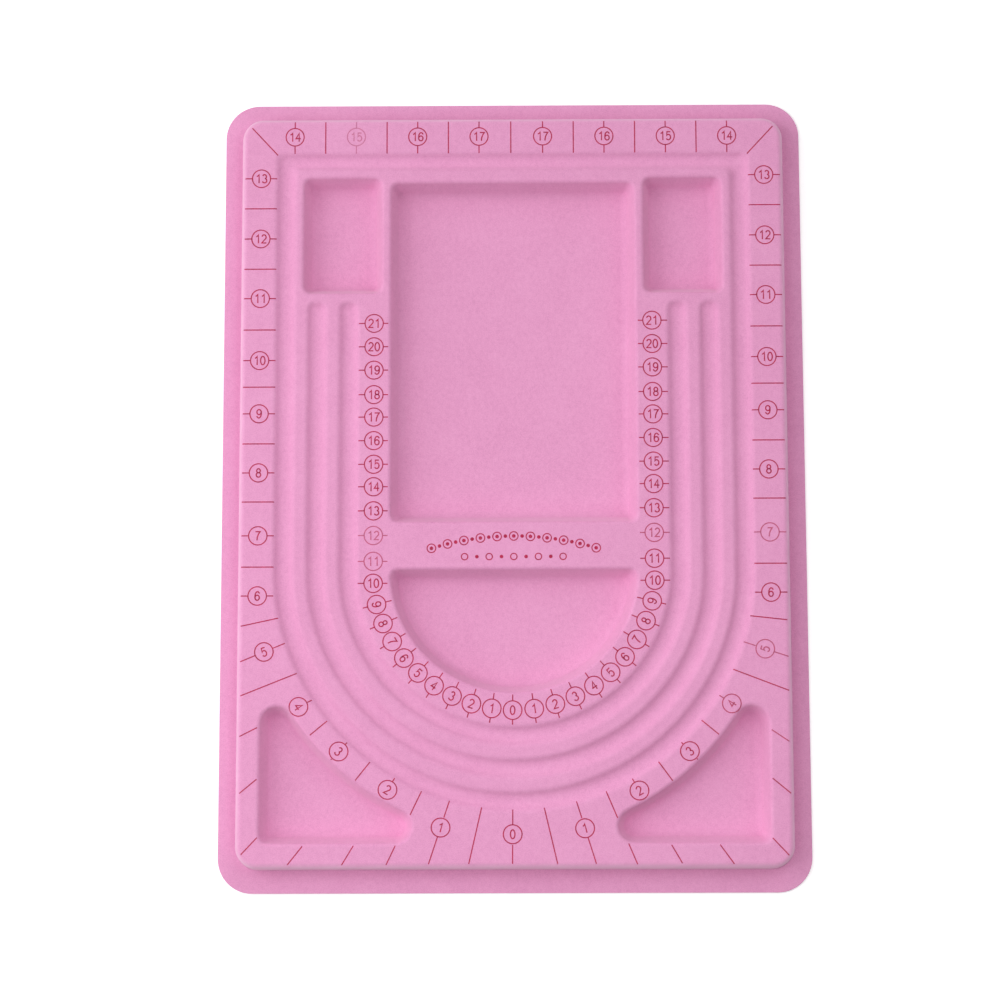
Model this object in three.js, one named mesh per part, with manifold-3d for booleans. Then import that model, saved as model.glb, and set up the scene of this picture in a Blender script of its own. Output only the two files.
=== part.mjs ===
// Bead board: a flocked, thermoformed sheet with wells and ruled channels for laying out bead strings.
// Millimetres, +Z up. The origin is the middle of the footprint, on the surface that the board rests on.
// +Y points to the end with the small wells, and the round ends of the channels are at the -Y end.
import * as THREE from 'three';
import Module from 'manifold-3d';

const wasm = await Module();
wasm.setup();

// Overall sizes, over the flocked face
const BOARD_WIDTH = 240;
const BOARD_LENGTH = 327;
const BOARD_HEIGHT = 11;
const BOARD_CORNER_RADIUS = 14;

// Layers of the sheet, from the underside up
const SHEET_THICKNESS = 0.7;
const ADHESIVE_THICKNESS = 0.1;
const PILE_THICKNESS = 0.5;
const BOND_GAP = 0.03;

// Flat rim, from the trimmed edge in to the top edge of the raised deck
const RIM_SIDE = 8.1;
const RIM_TOP = 8.6;
const RIM_BOTTOM = 10.4;
const DECK_CORNER_RADIUS = 8.5;

// Ruled bands of the deck, outside the channels and inside them
const BAND_SIDE = 14.1;
const BAND_TOP = 14.5;
const BAND_BOTTOM = 22.2;
const BAND_INNER = 13.2;

// Bead channels: one closed loop outside two open ones
const CHANNEL_WIDTH = 8.1;
const CHANNEL_TOP_WIDTH = 7.5;
const CHANNEL_DEPTH = 2;
const CHANNEL_RIDGE = 5;
const CHANNEL_LOOP_RADIUS = 3;
const CHANNEL_END_RADIUS = 3.4;
const CHANNEL_WALL_RUN = 2.3;
const CHANNEL_EDGE_RADIUS = 3;
const CHANNEL_FLAT = 0.3;

// Wells
const SMALL_WELL_LENGTH = 48.9;
const SMALL_WELL_RAIL_TOP = 3;
const SMALL_WELL_RAIL_OUTER = 3.3;
const SMALL_WELL_RAIL_INNER = 3.6;
const SMALL_WELL_RAIL_BOTTOM = 3.3;
const LARGE_WELL_RAIL_TOP = 5.1;
const CROSS_BAR_WIDTH = 19;
const WELL_CORNER_RADIUS = 3.4;
const WELL_FLOOR_CORNER_RADIUS = 2;
const WELL_LIFT = 0.5;
const WELL_WALL_RUN = 3.4;
const WELL_FOOT_RADIUS = 4;
const WELL_EDGE_RADIUS = 1.8;
const CORNER_WELL_BAND = 9.4;
const CORNER_WELL_RAIL_SIDE = 9.2;
const CORNER_WELL_RAIL_BOTTOM = 9.5;
const CORNER_WELL_TIP_RADIUS = 7;

// Outer wall of the deck
const DECK_WALL_RUN = 0.9;
const DECK_FOOT_RADIUS = 0.6;
const DECK_EDGE_RADIUS = 2.4;

// Facets, and the least radius that an inner layer's tight bend keeps
const CORNER_STEPS = 3;
const WIDE_CORNER_STEPS = 5;
const HALF_TURN_STEPS = 18;
const EDGE_STEPS = 1;
const FOOT_STEPS = 2;
const LEAST_RADIUS = 0.1;
const SAME_POINT = 1e-6;

// How far the cutting solids reach past the faces that they cut
const REACH = 5;

// Sizes that follow from the ones above
const STACK_THICKNESS = SHEET_THICKNESS + ADHESIVE_THICKNESS + PILE_THICKNESS + 2 * BOND_GAP;
const DECK_HALF_WIDTH = BOARD_WIDTH / 2 - RIM_SIDE;
const DECK_TOP = BOARD_LENGTH / 2 - RIM_TOP;
const DECK_BOTTOM = -BOARD_LENGTH / 2 + RIM_BOTTOM;
const LOOP_OUTER = DECK_HALF_WIDTH - BAND_SIDE;
const LOOP_INNER = LOOP_OUTER - CHANNEL_WIDTH;
const LOOP_TOP = DECK_TOP - BAND_TOP;
const LOOP_INNER_TOP = LOOP_TOP - CHANNEL_TOP_WIDTH;
const CHANNEL_PITCH = CHANNEL_WIDTH + CHANNEL_RIDGE;
const OPEN_CHANNEL_COUNT = 2;
const LARGE_WELL_HALF_WIDTH = LOOP_INNER - OPEN_CHANNEL_COUNT * CHANNEL_PITCH - BAND_INNER;
const ROUND_CENTRE = DECK_BOTTOM + BAND_BOTTOM + LOOP_OUTER;
const SMALL_WELL_TOP = LOOP_INNER_TOP - SMALL_WELL_RAIL_TOP;
const SMALL_WELL_BOTTOM = SMALL_WELL_TOP - SMALL_WELL_LENGTH;
const CHANNEL_END = SMALL_WELL_BOTTOM - SMALL_WELL_RAIL_BOTTOM;
const CHANNEL_SLOPE = Math.atan2(CHANNEL_DEPTH, CHANNEL_WALL_RUN);
const CHANNEL_FLOOR_HALF = (CHANNEL_WIDTH - CHANNEL_FLAT) / 2 - CHANNEL_WALL_RUN;

// The drawn walls: how far each one leans in, how deep it goes, and its rounds at the foot and at the deck
const DECK_WALL = {
  run: DECK_WALL_RUN,
  drop: BOARD_HEIGHT - STACK_THICKNESS,
  footRadius: DECK_FOOT_RADIUS,
  edgeRadius: DECK_EDGE_RADIUS,
};
const WELL_WALL = {
  run: WELL_WALL_RUN,
  drop: BOARD_HEIGHT - STACK_THICKNESS - WELL_LIFT,
  footRadius: WELL_FOOT_RADIUS,
  edgeRadius: WELL_EDGE_RADIUS,
};
const CHANNEL_WALL = {
  run: CHANNEL_WALL_RUN,
  drop: CHANNEL_DEPTH,
  footRadius: CHANNEL_FLOOR_HALF / Math.tan(CHANNEL_SLOPE / 2),
  edgeRadius: CHANNEL_EDGE_RADIUS,
};

const degrees = THREE.MathUtils.radToDeg;
const radians = THREE.MathUtils.degToRad;

// Points along an arc, from one angle to another in degrees, clockwise where the second is the smaller
function arc(x, y, radius, from, to, steps) {
  const curve = new THREE.EllipseCurve(x, y, radius, radius, radians(from), radians(to), to < from);
  return curve.getPoints(steps);
}

// One closed outline from arcs in order, with straight lines between them
function outline(...arcs) {
  const points = arcs.flat();
  return points.filter((point, i) => point.distanceTo(points.at(i - 1)) > SAME_POINT);
}

const grown = (radius, grow, least = LEAST_RADIUS) => Math.max(radius + grow, least);

// Each outline below is a function of how far it has grown outwards, and always has the same points

function roundedRectangle(left, bottom, right, top, radius, steps, least) {
  return (grow) => {
    const r = grown(radius, grow, least);
    const inset = r - grow;
    return outline(
      arc(right - inset, top - inset, r, 0, 90, steps),
      arc(left + inset, top - inset, r, 90, 180, steps),
      arc(left + inset, bottom + inset, r, 180, 270, steps),
      arc(right - inset, bottom + inset, r, 270, 360, steps),
    );
  };
}

// Straight top, straight sides and a half round at the bottom
function tongue(halfWidth, top, radius) {
  return (grow) => {
    const r = grown(radius, grow);
    const side = halfWidth + grow - r;
    const end = top + grow - r;
    return outline(
      arc(0, ROUND_CENTRE, halfWidth + grow, 180, 360, HALF_TURN_STEPS),
      arc(side, end, r, 0, 90, CORNER_STEPS),
      arc(-side, end, r, 90, 180, CORNER_STEPS),
    );
  };
}

// A channel down one side, round the bottom and up the other side
function openChannel(outer, inner, top, radius) {
  return (grow) => {
    const r = grown(radius, grow);
    const end = top + grow - r;
    const outside = outer + grow - r;
    const inside = inner - grow + r;
    return outline(
      arc(0, ROUND_CENTRE, outer + grow, 180, 360, HALF_TURN_STEPS),
      arc(outside, end, r, 0, 90, CORNER_STEPS),
      arc(inside, end, r, 90, 180, CORNER_STEPS),
      arc(0, ROUND_CENTRE, inner - grow, 360, 180, HALF_TURN_STEPS),
      arc(-inside, end, r, 0, 90, CORNER_STEPS),
      arc(-outside, end, r, 90, 180, CORNER_STEPS),
    );
  };
}

// The half round well under the cross bar, with its two top corners rounded
function halfMoon(radius) {
  return (grow) => {
    const r = grown(WELL_CORNER_RADIUS, grow, WELL_FLOOR_CORNER_RADIUS);
    const up = grow - r;
    const across = Math.sqrt((radius + grow - r) ** 2 - up ** 2);
    const tilt = degrees(Math.atan2(up, across));
    return outline(
      arc(0, ROUND_CENTRE, radius + grow, 180 - tilt, 360 + tilt, HALF_TURN_STEPS),
      arc(across, ROUND_CENTRE + up, r, tilt, 90, CORNER_STEPS),
      arc(-across, ROUND_CENTRE + up, r, 90, 180 - tilt, CORNER_STEPS),
    );
  };
}

// The three-sided well in a bottom corner, whose long side follows the channels
function cornerWell(hand) {
  const side = DECK_HALF_WIDTH - CORNER_WELL_RAIL_SIDE;
  const bottom = DECK_BOTTOM + CORNER_WELL_RAIL_BOTTOM - ROUND_CENTRE;
  return (grow) => {
    const big = LOOP_OUTER + CORNER_WELL_BAND - grow;
    const tip = grown(CORNER_WELL_TIP_RADIUS, grow);
    const corner = grown(WELL_CORNER_RADIUS, grow, WELL_FLOOR_CORNER_RADIUS);
    const sideX = side + grow - tip;
    const sideY = -Math.sqrt((big + tip) ** 2 - sideX ** 2);
    const bottomY = bottom - grow + tip;
    const bottomX = Math.sqrt((big + tip) ** 2 - bottomY ** 2);
    const sideAngle = degrees(Math.atan2(sideY, sideX));
    const bottomAngle = degrees(Math.atan2(bottomY, bottomX));
    const points = outline(
      arc(bottomX, bottomY, tip, 180 + bottomAngle, 270, CORNER_STEPS),
      arc(side + grow - corner, bottom - grow + corner, corner, 270, 360, CORNER_STEPS),
      arc(sideX, sideY, tip, 0, 180 + sideAngle, CORNER_STEPS),
      arc(0, 0, big, sideAngle, bottomAngle, WIDE_CORNER_STEPS),
    );
    points.forEach((point) => point.set(hand * point.x, point.y + ROUND_CENTRE));
    return hand > 0 ? points : points.reverse();
  };
}

// The slope of a drawn wall as [distance past its top edge, height], from its foot up to deck level.
// Below the flocked face it lies parallel, the given depth down, so every layer keeps its thickness.
// A foot too round for its wall ends where the round of the edge starts.
function wall({ run, drop, footRadius, edgeRadius }, depth) {
  const length = Math.hypot(run, drop);
  const mitre = (depth * (length - run)) / drop;
  const slope = Math.atan2(drop, run);
  const roundest = length / Math.tan(slope / 2) - edgeRadius;
  const lowRadius = grown(Math.min(footRadius, roundest), depth);
  const highRadius = grown(edgeRadius, -depth);
  const turn = (x, z, radius, side, steps) => {
    const along = radius * Math.tan(slope / 2);
    const points = [];
    for (let i = 0; i <= steps; i += 1) {
      const angle = (slope * i) / steps;
      const across = along - radius * Math.sin(angle);
      const up = radius * (1 - Math.cos(angle));
      points.push([x + side * across, z + side * up]);
    }
    return points;
  };
  const foot = turn(run - mitre, -drop - depth, lowRadius, 1, FOOT_STEPS);
  const edge = turn(-mitre, -depth, highRadius, -1, EDGE_STEPS).reverse();
  return [...foot, ...edge];
}

// A closed solid through a stack of outlines, one for each [grow, height] from the bottom up
function stack(outlineAt, levels) {
  const rings = levels.map(([grow, z]) => outlineAt(grow).map((point) => [point.x, point.y, z]));
  const count = rings[0].length;
  const faces = [];
  for (let level = 0; level + 1 < rings.length; level += 1) {
    for (let i = 0; i < count; i += 1) {
      const a = level * count + i;
      const b = level * count + ((i + 1) % count);
      faces.push(a, b, b + count, a, b + count, a + count);
    }
  }
  const cap = (level) => THREE.ShapeUtils.triangulateShape(outlineAt(levels.at(level)[0]), []);
  const topStart = (rings.length - 1) * count;
  cap(0).forEach(([a, b, c]) => faces.push(a, c, b));
  cap(-1).forEach(([a, b, c]) => faces.push(topStart + a, topStart + b, topStart + c));
  const geometry = new THREE.BufferGeometry();
  geometry.setAttribute('position', new THREE.Float32BufferAttribute(rings.flat(2), 3));
  geometry.setIndex(faces);
  return geometry;
}

function solid(geometry) {
  const vertProperties = new Float32Array(geometry.getAttribute('position').array);
  const triVerts = new Uint32Array(geometry.index.array);
  return new wasm.Manifold(new wasm.Mesh({ numProp: 3, vertProperties, triVerts }));
}

// Levels of a hollow that is cut down from the deck, and of a block that stands up to the deck
function hollow(profile, depth) {
  const levels = wall(profile, depth).map(([past, z]) => [-past, BOARD_HEIGHT + z]);
  return [...levels, [levels.at(-1)[0], BOARD_HEIGHT + REACH]];
}

function block(profile, depth, top) {
  const levels = wall(profile, depth).map(([past, z]) => [past, BOARD_HEIGHT + z]);
  const below = [[levels[0][0], levels[0][1] - REACH], ...levels];
  return top ? [...below, [levels.at(-1)[0], top]] : below;
}

function rim(margin) {
  return roundedRectangle(
    -BOARD_WIDTH / 2 - margin,
    -BOARD_LENGTH / 2 - margin,
    BOARD_WIDTH / 2 + margin,
    BOARD_LENGTH / 2 + margin,
    BOARD_CORNER_RADIUS + margin,
    WIDE_CORNER_STEPS,
  );
}

function fourSidedWell(left, bottom, right, top) {
  return roundedRectangle(
    left, bottom, right, top, WELL_CORNER_RADIUS, CORNER_STEPS, WELL_FLOOR_CORNER_RADIUS);
}

function smallWell(hand) {
  const outer = hand * (LOOP_INNER - SMALL_WELL_RAIL_OUTER);
  const inner = hand * (LARGE_WELL_HALF_WIDTH + SMALL_WELL_RAIL_INNER);
  const left = Math.min(outer, inner);
  const right = Math.max(outer, inner);
  return fourSidedWell(left, SMALL_WELL_BOTTOM, right, SMALL_WELL_TOP);
}

function largeWell() {
  const bottom = ROUND_CENTRE + CROSS_BAR_WIDTH;
  const top = LOOP_INNER_TOP - LARGE_WELL_RAIL_TOP;
  const half = LARGE_WELL_HALF_WIDTH;
  return fourSidedWell(-half, bottom, half, top);
}

// Everything that lies deeper than the given depth under the flocked face, with the rim widened by margin
function under(depth, margin) {
  const base = solid(stack(rim(margin), [[0, -REACH - margin], [0, STACK_THICKNESS - depth]]));
  const deckOutline = roundedRectangle(
    -DECK_HALF_WIDTH, DECK_BOTTOM, DECK_HALF_WIDTH, DECK_TOP, DECK_CORNER_RADIUS, WIDE_CORNER_STEPS);
  const deck = solid(stack(deckOutline, block(DECK_WALL, depth)));

  const channelLevels = hollow(CHANNEL_WALL, depth);
  const islandLevels = block(CHANNEL_WALL, depth, BOARD_HEIGHT + 2 * REACH);
  const loop = solid(stack(tongue(LOOP_OUTER, LOOP_TOP, CHANNEL_LOOP_RADIUS), channelLevels));
  const island = solid(stack(tongue(LOOP_INNER, LOOP_INNER_TOP, CHANNEL_LOOP_RADIUS), islandLevels));
  let body = base.add(deck).subtract(loop.subtract(island));

  for (let i = 1; i <= OPEN_CHANNEL_COUNT; i += 1) {
    const outer = LOOP_OUTER - i * CHANNEL_PITCH;
    const path = openChannel(outer, outer - CHANNEL_WIDTH, CHANNEL_END, CHANNEL_END_RADIUS);
    body = body.subtract(solid(stack(path, channelLevels)));
  }

  const wellLevels = hollow(WELL_WALL, depth);
  const wells = [smallWell(-1), smallWell(1), largeWell(), cornerWell(-1), cornerWell(1),
    halfMoon(LARGE_WELL_HALF_WIDTH)];
  for (const well of wells) {
    body = body.subtract(solid(stack(well, wellLevels)));
  }
  return body;
}

// One layer of the sheet, between two depths under the flocked face
function layer(name, top, bottom, material) {
  const skin = under(top, 0).subtract(under(bottom, REACH)).getMesh();
  const geometry = new THREE.BufferGeometry();
  geometry.setAttribute('position', new THREE.BufferAttribute(skin.vertProperties, 3));
  geometry.setIndex(new THREE.BufferAttribute(skin.triVerts, 1));
  geometry.computeVertexNormals();
  const mesh = new THREE.Mesh(geometry, material);
  mesh.name = name;
  return mesh;
}

const plastic = new THREE.MeshStandardMaterial({ color: '#e7a0c6', roughness: 0.45, metalness: 0 });
const glue = new THREE.MeshStandardMaterial({ color: '#e9b6d0', roughness: 0.6, metalness: 0 });
const pile = new THREE.MeshStandardMaterial({ color: '#e69cc8', roughness: 0.95, metalness: 0 });

const ADHESIVE_TOP = PILE_THICKNESS + BOND_GAP;
const SHEET_TOP = ADHESIVE_TOP + ADHESIVE_THICKNESS + BOND_GAP;

const board = new THREE.Group();
board.add(layer('formed_sheet', SHEET_TOP, STACK_THICKNESS, plastic));
board.add(layer('flock_adhesive', ADHESIVE_TOP, ADHESIVE_TOP + ADHESIVE_THICKNESS, glue));
board.add(layer('flock_pile', 0, PILE_THICKNESS, pile));

export default board;
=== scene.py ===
# Looks of the bead board: the flocked coat, its glue film, the formed sheet and the print on top.
# Sizes are in millimetres in the board's own frame, and the meshes are made in metres.
import collections
import math

import bmesh
import bpy
from mathutils import Matrix, Vector
from mathutils.bvhtree import BVHTree
from mathutils.geometry import delaunay_2d_cdt


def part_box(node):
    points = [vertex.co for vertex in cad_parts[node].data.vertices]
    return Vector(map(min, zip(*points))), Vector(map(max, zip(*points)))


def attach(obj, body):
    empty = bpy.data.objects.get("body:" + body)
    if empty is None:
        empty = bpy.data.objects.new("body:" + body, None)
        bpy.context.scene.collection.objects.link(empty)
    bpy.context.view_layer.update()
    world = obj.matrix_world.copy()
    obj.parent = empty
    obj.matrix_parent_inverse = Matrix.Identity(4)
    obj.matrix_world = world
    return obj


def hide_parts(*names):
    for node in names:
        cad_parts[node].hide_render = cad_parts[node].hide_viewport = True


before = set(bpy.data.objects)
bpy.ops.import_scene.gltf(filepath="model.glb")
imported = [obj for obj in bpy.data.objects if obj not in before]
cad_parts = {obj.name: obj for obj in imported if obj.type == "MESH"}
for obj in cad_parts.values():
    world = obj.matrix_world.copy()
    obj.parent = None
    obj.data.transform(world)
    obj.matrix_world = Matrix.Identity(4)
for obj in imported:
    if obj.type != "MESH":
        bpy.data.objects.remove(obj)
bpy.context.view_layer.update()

MM = 0.001

# Overall sizes, over the flocked face, from the frame
pile_low, pile_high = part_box("flock_pile")
BOARD_WIDTH = (pile_high.x - pile_low.x) / MM
BOARD_LENGTH = (pile_high.y - pile_low.y) / MM
BOARD_HEIGHT = pile_high.z / MM
BOARD_CORNER_RADIUS = 14

# Layers of the sheet, from the underside up
SHEET_THICKNESS = 0.7
ADHESIVE_THICKNESS = 0.1
PILE_THICKNESS = 0.5
BOND_GAP = 0.03
PILE_TRIM_RADIUS = 0.3

# Flat rim, from the trimmed edge in to the top edge of the raised deck
RIM_SIDE = 8.1
RIM_TOP = 8.6
RIM_BOTTOM = 10.4
DECK_CORNER_RADIUS = 8.5

# Ruled bands of the deck, outside the channels and inside them
BAND_SIDE = 14.1
BAND_TOP = 14.5
BAND_BOTTOM = 22.2
BAND_INNER = 13.2

# Bead channels: one closed loop outside two open ones
CHANNEL_WIDTH = 8.1
CHANNEL_TOP_WIDTH = 7.5
CHANNEL_DEPTH = 2
CHANNEL_RIDGE = 5
CHANNEL_LOOP_RADIUS = 3
CHANNEL_END_RADIUS = 3.4
CHANNEL_WALL_RUN = 2.3
CHANNEL_EDGE_RADIUS = 3
CHANNEL_FLAT = 0.3
OPEN_CHANNEL_COUNT = 2

# Wells
SMALL_WELL_LENGTH = 48.9
SMALL_WELL_RAIL_TOP = 3
SMALL_WELL_RAIL_OUTER = 3.3
SMALL_WELL_RAIL_INNER = 3.6
SMALL_WELL_RAIL_BOTTOM = 3.3
LARGE_WELL_RAIL_TOP = 5.1
CROSS_BAR_WIDTH = 19
WELL_CORNER_RADIUS = 3.4
WELL_FLOOR_CORNER_RADIUS = 2
WELL_LIFT = 0.5
WELL_WALL_RUN = 3.4
WELL_FOOT_RADIUS = 4
WELL_EDGE_RADIUS = 1.8
CORNER_WELL_BAND = 9.4
CORNER_WELL_RAIL_SIDE = 9.2
CORNER_WELL_RAIL_BOTTOM = 9.5
CORNER_WELL_TIP_RADIUS = 7

# Outer wall of the deck
DECK_WALL_RUN = 0.9
DECK_FOOT_RADIUS = 0.6
DECK_EDGE_RADIUS = 2.4

# Print: ringed numbers on lead lines, with plain ticks at the half inches
RING_RADIUS = 3.75
LINE_WIDTH = 0.46
DIGIT_HEIGHT = 3.7
DIGIT_ADVANCE = 2.6
DIGIT_STROKE = 0.52
INK_LIFT = 0.03
INK_STEP = 0.5
INK_EDGE_MARGIN = 1.1
INK_WELL_MARGIN = 0.5
PRINT_SLIP = 0.45

# Centimetre scale, on the inner band
CENTIMETRE_CENTRE = -32.8
CENTIMETRE_RADIUS = 57.6
CENTIMETRE_TURN = 8.4
CENTIMETRE_TURN_SLIP = 0.017
CENTIMETRE_TURN_BOW = 0.45
CENTIMETRE_ZERO_TURN = 0.7
CENTIMETRE_ROUND_COUNT = 9
CENTIMETRE_COUNT = 21
CENTIMETRE_LINE = 57.1
CENTIMETRE_START = -38.5
CENTIMETRE_PITCH = 9.76
CENTIMETRE_LEAD_INNER = 51.3
CENTIMETRE_LEAD_OUTER = 63.4

# Inch scale, on the outer band
INCH_CENTRE = -32.4
INCH_RADII = (107.5, 108.9, 103.2, 102.6, 103.7, 106.8)
INCH_PIVOT_RADIUS = 103
INCH_TURN = 14.05
INCH_TURN_START = 1.3
INCH_TURN_SLIP = 0.008
INCH_ZERO_TURN = 0.45
INCH_ROUND_COUNT = 5
INCH_LINE = 104.1
INCH_SIDE_START = -43.5
INCH_SIDE_PITCH = 24.95
INCH_UPPER_FIRST = 10
INCH_UPPER_START = 53.5
INCH_UPPER_PITCH = 25.55
INCH_TOP_FIRST = 14
INCH_COUNT = 17
INCH_TOP_LINE = 147.35
INCH_TOP_PITCH = 25.48
INCH_TOP_HALF_GAP = 13.2
INCH_TOP_SHIFT = -0.65
INCH_LEAD_OVERRUN = 0.2
INCH_CORNER_TICK = ((108.1, 151.3), (97.3, 139.6))

# Numbers that the photograph shows worn: scale, side and number, and how much of the ink is gone
WORN_NUMBERS = {
    ("inch", -1, 15): 0.5,
    ("inch", 1, 7): 0.26,
    ("inch", 1, 5): 0.24,
    ("inch", 1, 4): 0.14,
    ("centimetre", -1, 11): 0.26,
    ("centimetre", -1, 12): 0.3,
    ("centimetre", 1, 12): 0.2,
}

# Marks on the straight sides that sit off their even place, in millimetres up
NUDGED = {
    ("inch", 6.5): -0.7,
    ("inch", 7): -0.4,
    ("inch", 7.5): 1.0,
    ("inch", 8): 0.5,
    ("inch", 11): 0.4,
    ("centimetre", 11): -0.8,
    ("centimetre", 13): 0.35,
    ("centimetre", 14): 0.5,
    ("centimetre", 18): -0.45,
}

# Round the bottom, inch marks that stray: side and number, and degrees round the bend and off the radius
INCH_STRAY = {
    (-1, 0.5): (0, 5), (1, 0.5): (0, 6),
    (-1, 1): (0, 2.8), (1, 1): (-0.2, 2.7),
    (-1, 1.5): (0, 3.2), (1, 1.5): (0, 1),
    (-1, 2): (0, 1.9), (1, 2): (-0.2, 1.4),
    (-1, 2.5): (0, 2.3),
    (-1, 4): (-0.5, 6.5), (1, 4): (0.1, -1.3),
    (-1, 4.5): (-0.3, 4.2), (1, 4.5): (0.3, 4.2),
    (-1, 5): (0, -3.8),
    (-1, 5.5): (-0.55, 0), (1, 5.5): (-0.4, 5.3),
}
INCH_QUARTER_TURNED = (-1, 5)

# Printed bead row on the cross bar
BEAD_ARCH_TOP = -19.8
BEAD_ARCH_RADIUS = 115.8
BEAD_ARCH_HALF_TURN = 16.8
BEAD_ARCH_COUNT = 21
BEAD_LARGE_RADIUS = 1.75
BEAD_SMALL_RADIUS = 0.75
BEAD_LINE_WIDTH = 0.45
BEAD_ROW_Y = -28.2
BEAD_ROW_HALF_LENGTH = 20.0
BEAD_ROW_COUNT = 9
BEAD_ROW_RADIUS = 1.3

# Facets
CORNER_STEPS = 10
WIDE_CORNER_STEPS = 16
HALF_TURN_STEPS = 120
EDGE_STEPS = 6
FOOT_STEPS = 8
TRIM_STEPS = 3
RING_STEPS = 40
LEAST_RADIUS = 0.1
SAME_POINT = 1e-6
FLAT_GUARD = 0.15
SHARP_ANGLE = 40
STROKE_TURN = 15
LEAST_STROKE_STEPS = 4
LEAST_MITRE = 0.5

# Asks the triangulation for the triangles inside the given loops only
INSIDE_LOOPS = 1

# Camera, set to the photograph, and the light
CAMERA_TARGET = (-5.6, -3.79, 1.5)
CAMERA_DISTANCE = 989.2
CAMERA_TILT = 7.5
CAMERA_YAW = 0.313
CAMERA_ROLL = -0.2
CAMERA_LENS = 86.59
CAMERA_SENSOR = 36
SKY_STRENGTH = 0.12

# Floor, whose glow is only seen and lights nothing. It grows to plain white away from the board
FLOOR_SIZE = 6000
FLOOR_ROUGHNESS = 0.9
FLOOR_GLOW = 0.3
FLOOR_GLOW_START = 400
FLOOR_GLOW_END = 1800

# Round soft lamps: azimuth from +X and elevation in degrees, distance, diameter and watts
Lamp = collections.namedtuple("Lamp", "azimuth elevation distance size power")
LAMPS = {
    "key": Lamp(180, 28, 1500, 1500, 12),
    "back": Lamp(135, 28, 1500, 1500, 4),
    "fill": Lamp(45, 45, 1500, 1500, 8.9),
    "left_overhead": Lamp(180, 60, 600, 500, 0.83),
    "near_overhead": Lamp(270, 60, 600, 500, 0.92),
}

# Sizes that follow from the ones above
STACK_THICKNESS = SHEET_THICKNESS + ADHESIVE_THICKNESS + PILE_THICKNESS + 2 * BOND_GAP
ADHESIVE_TOP = PILE_THICKNESS + BOND_GAP
ADHESIVE_BOTTOM = ADHESIVE_TOP + ADHESIVE_THICKNESS
SHEET_TOP = ADHESIVE_BOTTOM + BOND_GAP
DECK_HALF_WIDTH = BOARD_WIDTH / 2 - RIM_SIDE
DECK_TOP = BOARD_LENGTH / 2 - RIM_TOP
DECK_BOTTOM = -BOARD_LENGTH / 2 + RIM_BOTTOM
LOOP_OUTER = DECK_HALF_WIDTH - BAND_SIDE
LOOP_INNER = LOOP_OUTER - CHANNEL_WIDTH
LOOP_TOP = DECK_TOP - BAND_TOP
LOOP_INNER_TOP = LOOP_TOP - CHANNEL_TOP_WIDTH
CHANNEL_PITCH = CHANNEL_WIDTH + CHANNEL_RIDGE
LARGE_WELL_HALF_WIDTH = LOOP_INNER - OPEN_CHANNEL_COUNT * CHANNEL_PITCH - BAND_INNER
ROUND_CENTRE = DECK_BOTTOM + BAND_BOTTOM + LOOP_OUTER
SMALL_WELL_TOP = LOOP_INNER_TOP - SMALL_WELL_RAIL_TOP
SMALL_WELL_BOTTOM = SMALL_WELL_TOP - SMALL_WELL_LENGTH
CHANNEL_END = SMALL_WELL_BOTTOM - SMALL_WELL_RAIL_BOTTOM
CHANNEL_SLOPE = math.atan2(CHANNEL_DEPTH, CHANNEL_WALL_RUN)
CHANNEL_FLOOR_HALF = (CHANNEL_WIDTH - CHANNEL_FLAT) / 2 - CHANNEL_WALL_RUN
CHANNEL_FOOT_RADIUS = CHANNEL_FLOOR_HALF / math.tan(CHANNEL_SLOPE / 2)
WALL_DROP = BOARD_HEIGHT - STACK_THICKNESS

# The drawn walls: how far each one leans in, how deep it goes, its rounds at the foot and at the deck,
# and how strong a painted highlight is laid on the round at the deck, from 0 to 1
Wall = collections.namedtuple("Wall", "run drop foot_radius edge_radius pale")
DECK_WALL = Wall(DECK_WALL_RUN, WALL_DROP, DECK_FOOT_RADIUS, DECK_EDGE_RADIUS, 1)
WELL_WALL = Wall(WELL_WALL_RUN, WALL_DROP - WELL_LIFT, WELL_FOOT_RADIUS, WELL_EDGE_RADIUS, 0)
CHANNEL_WALL = Wall(CHANNEL_WALL_RUN, CHANNEL_DEPTH, CHANNEL_FOOT_RADIUS, CHANNEL_EDGE_RADIUS, 0)

# One level of a wall: distance past its top edge, height, and how strong the painted highlight is there
Level = collections.namedtuple("Level", "past z pale")


def arc(x, y, radius, start, end, steps):
    """Points along an arc, from one angle to another in degrees."""
    angles = [math.radians(start + (end - start) * i / steps) for i in range(steps + 1)]
    return [(x + radius * math.cos(a), y + radius * math.sin(a)) for a in angles]


def outline(*arcs):
    """One closed outline from arcs in order, with straight lines between them."""
    points = [point for points in arcs for point in points]
    return [p for p, before in zip(points, points[-1:] + points) if math.dist(p, before) > SAME_POINT]


def grown(radius, grow, least=LEAST_RADIUS):
    return max(radius + grow, least)


# Each outline below is a function of how far it has grown outwards, and always has the same points

def rounded_rectangle(left, bottom, right, top, radius, steps, least=LEAST_RADIUS):
    def outline_at(grow):
        r = grown(radius, grow, least)
        inset = r - grow
        return outline(
            arc(right - inset, top - inset, r, 0, 90, steps),
            arc(left + inset, top - inset, r, 90, 180, steps),
            arc(left + inset, bottom + inset, r, 180, 270, steps),
            arc(right - inset, bottom + inset, r, 270, 360, steps),
        )
    return outline_at


def tongue(half_width, top, radius):
    """Straight top, straight sides and a half round at the bottom."""
    side = half_width - radius
    end = top - radius
    return outline(
        arc(0, ROUND_CENTRE, half_width, 180, 360, HALF_TURN_STEPS),
        arc(side, end, radius, 0, 90, CORNER_STEPS),
        arc(-side, end, radius, 90, 180, CORNER_STEPS),
    )


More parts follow.
